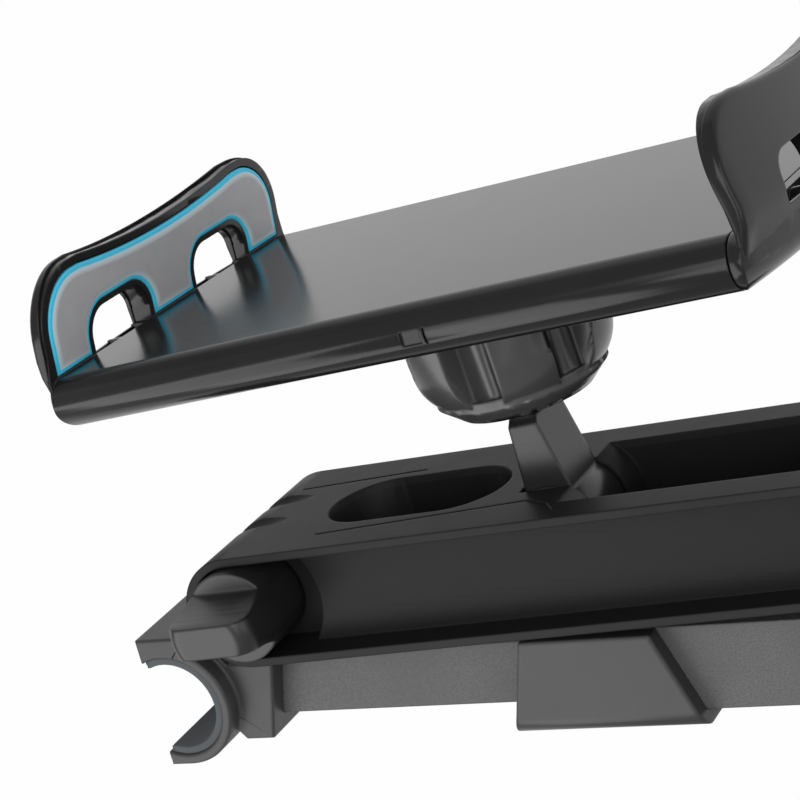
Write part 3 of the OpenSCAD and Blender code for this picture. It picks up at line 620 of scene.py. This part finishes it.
class JawShell:
    """The full outer side of a jaw, which is bowed less than the CAD jaw and has rounded edges."""

    def __init__(self, name: str, sizes: ShellSizes, place: Place, side: int) -> None:
        """Keeps the shell's name, sizes, the cradle's axes, and 1 or -1 for the end that it is on."""
        self.name = name
        self.sizes = sizes
        self.place = place
        self.side = side

    def outline(self) -> np.ndarray:
        """Returns the outline in (Z, Y): the dip, a horn, a side, the lower end and the same mirrored."""
        z = self.sizes
        dip_r = (z.dip_half ** 2 + z.dip ** 2) / (2 * z.dip)
        reach = np.degrees(np.arcsin(z.dip_half / dip_r))
        dip = arc((0, z.top - z.dip + dip_r), dip_r - z.grow, -90 - reach, -90 + reach, 30)
        horn = arc((z.side - z.horn, z.top - z.horn), z.horn + z.grow, 88, 0, 16)
        heights = np.array([z.face_y + 5.5, z.face_y + 4.0, z.face_y + 1.0, z.low_y])
        widths = np.interp(heights, [z.low_y, z.face_y + 4.0], [z.foot_side, z.side + z.grow])
        side = np.concatenate([horn, np.stack([widths, heights], axis=1)])
        along = np.linspace(-z.foot_side + 3, z.foot_side - 3, 24)[::-1]
        foot = np.stack([along, np.full(24, z.low_y)], axis=1)
        return np.concatenate([dip, side, foot, side[::-1] * np.array([-1.0, 1.0])])

    def window(self, sign: int) -> np.ndarray:
        """Returns the outline of an opening: a foot line and two quarter circles joined by a flat."""
        z = self.sizes
        top = z.face_y + z.rise - z.round
        far = arc((z.rib + z.opening - z.round, top), z.round, 0, 90, 9)
        near = arc((z.rib + z.round, top), z.round, 90, 180, 9)
        sill = z.face_y - 0.5
        foot = np.array([[z.rib, sill], [z.rib + z.opening / 2, sill], [z.rib + z.opening, sill]])
        return np.concatenate([far, near, foot]) * np.array([sign, 1.0])

    def outer(self, flat: np.ndarray) -> np.ndarray:
        """Returns the outer face's distance from the middle.

        It is the CAD jaw's bow and lean plus the gain from the flatter bow, half the square of the width
        times the difference of the curvatures, which fades to nothing below the cradle's face.
        """
        z = self.sizes
        wide = flat[:, 0] ** 2 / 2
        cad = self.inner(flat) + z.root
        way = np.clip((flat[:, 1] - z.low_y - 1) / (z.face_y + 3 - z.low_y), 0, 1)
        fade = way * way * (3 - 2 * way)
        return cad - 0.3 * (1 - fade) + fade * (z.lift + wide * (1 / z.cad_bow - 1 / z.bow))

    def inner(self, flat: np.ndarray) -> np.ndarray:
        """Returns the back's distance from the middle: the CAD jaw's bow and lean, less the root."""
        z = self.sizes
        rise = np.maximum(flat[:, 1] - z.face_y - 1, 0)
        bow = flat[:, 0] ** 2 / 2 / z.cad_bow
        return z.jaw_x + z.thick - bow - rise * np.tan(np.radians(z.lean)) - z.root

    def build(self) -> bpy.types.Object:
        """Makes the shell's mesh: rings inside the outline, the openings and a grid, joined by triangles.

        The outer face is lowered near the outline by a quarter circle, and a wall joins it to the back
        round the outline and round each opening.
        """
        z = self.sizes
        line = self.outline()
        ahead = np.roll(line, -1, axis=0) - line
        ahead /= np.linalg.norm(ahead, axis=1, keepdims=True)
        behind = np.roll(ahead, 1, axis=0)
        normal = np.stack([ahead[:, 1] + behind[:, 1], -ahead[:, 0] - behind[:, 0]], axis=1)
        normal /= np.maximum(np.sum(normal * normal, axis=1, keepdims=True) / 2, 0.5)
        angle = np.linspace(0, np.pi / 2, 6)
        rings = [line + normal * z.edge * (1 - np.cos(a)) for a in angle]
        drops = [np.full(len(line), z.edge * (1 - np.sin(a))) for a in angle]
        holes = [self.window(1), self.window(-1)]
        inside = self.grid(rings[-1], holes)
        flat = np.concatenate([*rings, *holes, inside])
        drop = np.concatenate([*drops, np.zeros(sum(len(h) for h in holes) + len(inside))])
        edges, start = [], 0
        for loop in (*rings, *holes):
            index = start + np.arange(len(loop))
            edges.append(np.stack([index, np.roll(index, -1)], axis=1))
            start += len(loop)
        corners_2d = [Vector(point) for point in flat.tolist()]
        result = delaunay_2d_cdt(corners_2d, np.concatenate(edges).tolist(), [], 0, 1e-6)
        faces = np.array(result[2])
        assert len(result[0]) == len(flat), (len(result[0]), len(flat))
        middle = flat[faces].mean(axis=1)
        keep = self.within(middle, line) & ~self.within(middle, holes[0]) & ~self.within(middle, holes[1])
        faces = faces[keep]
        count = len(flat)
        front = np.stack([self.side * (self.outer(flat) - drop), flat[:, 1], flat[:, 0]], axis=1)
        back = np.stack([self.side * self.inner(flat), flat[:, 1], flat[:, 0]], axis=1)
        walls = []
        for loop in (edges[0], edges[-2], edges[-1]):
            walls.append(np.stack([loop[:, 0], loop[:, 1], loop[:, 1] + count, loop[:, 0] + count], axis=1))
        quads = np.concatenate(walls)
        loops = faces.tolist() + (faces[:, ::-1] + count).tolist() + quads.tolist()
        mesh = bpy.data.meshes.new(self.name)
        mesh.from_pydata(self.place.at(np.concatenate([front, back])).tolist(), [], loops)
        smooth = np.zeros(len(loops), dtype=bool)
        smooth[:len(faces)] = True
        smooth[-len(quads):] = True
        mesh.polygons.foreach_set("use_smooth", smooth)
        mesh.update()
        mesh.validate()
        work = bmesh.new()
        work.from_mesh(mesh)
        bmesh.ops.recalc_face_normals(work, faces=work.faces)
        work.to_mesh(mesh)
        work.free()
        mesh.set_sharp_from_angle(angle=np.radians(40))
        shell = bpy.data.objects.new(self.name, mesh)
        bpy.context.scene.collection.objects.link(shell)
        return shell

    def grid(self, line: np.ndarray, holes: Sequence[np.ndarray]) -> np.ndarray:
        """Returns grid points inside the innermost ring that keep clear of it and of the openings."""
        z = self.sizes
        across = np.arange(-z.side, z.side, z.step)
        up = np.arange(z.low_y + 1.5, z.top, z.step)
        points = np.stack(np.meshgrid(across, up), axis=2).reshape(-1, 2)
        points = points[self.within(points, line)]
        border = np.concatenate([line, *holes])
        away = np.min(np.linalg.norm(points[:, None, :] - border[None, :, :], axis=2), axis=1)
        points = points[away > z.step * 0.5]
        return points[~(self.within(points, holes[0]) | self.within(points, holes[1]))]

    def within(self, points: np.ndarray, loop: np.ndarray) -> np.ndarray:
        """Tells which points lie inside a loop, by the parity of the edges to their right."""
        a = loop[None, :, :]
        b = np.roll(loop, -1, axis=0)[None, :, :]
        x, y = points[:, 0:1], points[:, 1:2]
        spans = (a[..., 1] > y) != (b[..., 1] > y)
        slope = np.where(spans, b[..., 1] - a[..., 1], 1.0)
        cross = a[..., 0] + (y - a[..., 1]) * (b[..., 0] - a[..., 0]) / slope
        return np.sum(spans & (cross > x), axis=1) % 2 == 1


def jaw_shells(material: bpy.types.Material) -> None:
    """Makes the outer shells of both jaws.

    Args:
        material: The cradle's finish.
    """
    place = cradle_place()
    for name, body, side in (("jaw_shell_fixed", "cradle", -1), ("jaw_shell_sliding", "jaw", 1)):
        shell = JawShell(name, ShellSizes(), place, side).build()
        shell.data.materials.append(material)
        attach(shell, body)


def pad_silicone() -> bpy.types.Material:
    """Makes the pads' silicone rubber: grey, with a bright blue line on the edge, and a painted glow, a
    pale blue band that fades from the line into the grey.

    The "inset" attribute is the way along the surface in mm from the edge's crest, and below -1 mm
    the pad is painted near black as shade, where it lies in its seat.

    Returns:
        The material.
    """
    s = Shader("pad_silicone")
    where = s.add("ShaderNodeTexCoord").outputs["Object"]
    inset = s.add("ShaderNodeAttribute", {"attribute_name": "inset"}).outputs["Fac"]
    patches = s.noise(where, 9.0, 3.0, 0.6)
    dust = s.noise(where, 0.7, 3.0, 0.6)
    grey = s.mix(s.spread(patches, 0.35, 0.65), linear("#bdbcbf"), linear("#b4b3b6"))
    # Painted glow: a pale blue band inside the blue line, lighter than the grey
    painted_glow = s.mix(s.spread(inset, 0.5, 1.7), linear("#d4e6ed"), grey)
    line = s.mix(s.spread(inset, 0.3, 0.55), linear("#4fd8ff"), painted_glow)
    # Painted shade: near black where the pad lies in its seat
    colour = s.mix(s.spread(inset, -1.0, -0.9), linear("#232324"), line)
    rough = s.spread(dust, 0.3, 0.7, 0.5, 0.62)
    height = s.maths("MULTIPLY", dust, 0.02 * MM)
    bump = s.add("ShaderNodeBump", {}, Strength=1.0, Distance=1.0, Height=height)
    skin = s.add(
        "ShaderNodeBsdfPrincipled", {}, Base_Color=colour, Roughness=rough, Subsurface_Weight=0.15,
        Subsurface_Scale=0.0008, Normal=bump.outputs[0],
    )
    skin.inputs["Specular IOR Level"].default_value = 0.4
    s.add("ShaderNodeOutputMaterial", {}, Surface=skin.outputs[0])
    return s.material


def jaw_pads() -> None:
    """Makes the two jaw pads in place of their plain CAD solids."""
    material = pad_silicone()
    place = cradle_place()
    for name, node, body, side in (
        ("jaw_pad_fixed", "fixed_jaw_pad", "cradle", -1),
        ("jaw_pad_sliding", "sliding_jaw_pad", "jaw", 1),
    ):
        pad = JawPad(name, PadSizes(), place, side).build()
        pad.data.materials.append(material)
        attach(pad, body)
        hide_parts(node)


@dataclass(frozen=True)
class Camera:
    """Where the photograph was taken from, in the row frame.

    Args:
        place_mm: Place of the camera.
        right: Direction of the picture's right side.
        up: Direction of the picture's upper side.
        lens_mm: Focal length on a sensor 36 mm wide.
    """

    place_mm: Sequence[float] = (-269.0, -175.5, 379.9)
    right: Sequence[float] = (-0.8752, 0.2531, -0.4124)
    up: Sequence[float] = (-0.0970, -0.9268, -0.3628)
    lens_mm: float = 112.5

    def build(self) -> None:
        """Makes the camera and sets it as the scene's."""
        right = np.array(self.right) / np.linalg.norm(self.right)
        up = np.array(self.up) - right * np.dot(self.up, right)
        up /= np.linalg.norm(up)
        back = np.cross(right, up)
        turn = np.eye(4)
        turn[:3, 0] = right
        turn[:3, 1] = up
        turn[:3, 2] = back
        turn[:3, 3] = np.array(self.place_mm) * MM
        data = bpy.data.cameras.new("camera")
        data.lens = self.lens_mm
        data.sensor_width = 36.0
        data.clip_start = 0.01
        data.clip_end = 20.0
        camera = bpy.data.objects.new("camera", data)
        camera.matrix_world = Matrix(turn.tolist())
        bpy.context.scene.collection.objects.link(camera)
        bpy.context.scene.camera = camera


class Studio:
    """Pale floor, white surroundings and soft lamps."""

    floor_z = -0.6

    def build(self) -> None:
        """Makes the floor, the world and the lamps."""
        self.make_floor()
        self.make_world()
        self.make_lamp("key", (-0.35, -0.4, 1.2), 0.9, 5.8)
        self.make_lamp("fill", (-1.1, -0.3, 0.6), 0.8, 2.0)
        self.make_lamp("rim", (0.7, 0.5, 0.9), 1.1, 9.0)

    def shown(self, s: Shader) -> Socket:
        """Returns a socket that is 1 for camera and transmission rays and 0.5 for mirror rays."""
        path = s.add("ShaderNodeLightPath").outputs
        mirror = s.maths("MULTIPLY", path["Is Glossy Ray"], 0.5)
        seen = s.maths("MAXIMUM", path["Is Camera Ray"], mirror)
        return s.maths("MAXIMUM", seen, path["Is Transmission Ray"])

    def make_floor(self) -> None:
        """Makes a pale floor that keeps the object's shadow."""
        size = 6.0
        signs = ((-1, -1), (1, -1), (1, 1), (-1, 1))
        points = [(x * size, y * size, self.floor_z) for x, y in signs]
        mesh = bpy.data.meshes.new("floor")
        mesh.from_pydata(points, [], [(0, 1, 2, 3)])
        s = Shader("pale_floor")
        diffuse = s.add("ShaderNodeBsdfDiffuse", {}, Color=linear("#f4f4f4"))
        white = s.add("ShaderNodeEmission", {}, Color=(1.0, 1.0, 1.0, 1.0), Strength=1.0)
        factor = s.maths("MULTIPLY", self.shown(s), 0.95)
        both = s.add("ShaderNodeMixShader", {}, n0=factor, n1=diffuse.outputs[0], n2=white.outputs[0])
        s.add("ShaderNodeOutputMaterial", {}, Surface=both.outputs[0])
        mesh.materials.append(s.material)
        floor = bpy.data.objects.new("floor", mesh)
        bpy.context.scene.collection.objects.link(floor)

    def make_world(self) -> None:
        """Makes a world that is white to the camera and dimmer as a light."""
        world = bpy.data.worlds.new("studio")
        world.use_nodes = True
        tree = world.node_tree
        tree.nodes.clear()
        path = tree.nodes.new("ShaderNodeLightPath")
        seen = tree.nodes.new("ShaderNodeMath")
        seen.operation = "MAXIMUM"
        tree.links.new(path.outputs["Is Camera Ray"], seen.inputs[0])
        tree.links.new(path.outputs["Is Transmission Ray"], seen.inputs[1])
        strength = tree.nodes.new("ShaderNodeMapRange")
        strength.inputs["To Min"].default_value = 0.45
        strength.inputs["To Max"].default_value = 1.0
        tree.links.new(seen.outputs[0], strength.inputs["Value"])
        background = tree.nodes.new("ShaderNodeBackground")
        background.inputs["Color"].default_value = (1.0, 1.0, 1.0, 1.0)
        tree.links.new(strength.outputs["Result"], background.inputs["Strength"])
        output = tree.nodes.new("ShaderNodeOutputWorld")
        tree.links.new(background.outputs[0], output.inputs["Surface"])
        bpy.context.scene.world = world

    def make_lamp(self, name: str, place: Sequence[float], size: float, watts: float) -> None:
        """Makes a square area lamp that faces the object.

        Args:
            name: Name of the lamp.
            place: Place in metres.
            size: Side of the lamp in metres.
            watts: Power.
        """
        data = bpy.data.lights.new(name, "AREA")
        data.size = size
        data.energy = watts
        lamp = bpy.data.objects.new(name, data)
        target = np.array([-0.08, -0.04, 0.0])
        away = np.array(place) - target
        away /= np.linalg.norm(away)
        side = np.cross([0.0, 0.0, 1.0], away)
        side /= np.linalg.norm(side)
        turn = np.eye(4)
        turn[:3, 0] = side
        turn[:3, 1] = np.cross(away, side)
        turn[:3, 2] = away
        turn[:3, 3] = place
        lamp.matrix_world = Matrix(turn.tolist())
        bpy.context.scene.collection.objects.link(lamp)


def main() -> None:
    """Builds the scene."""
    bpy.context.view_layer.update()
    Model(frame["nodes"]).finish()
    jaw_pads()
    Camera().build()
    Studio().build()
    bpy.context.scene.view_settings.view_transform = "Standard"
    LOG.info("scene built")


if __name__ == "__main__":
    main()
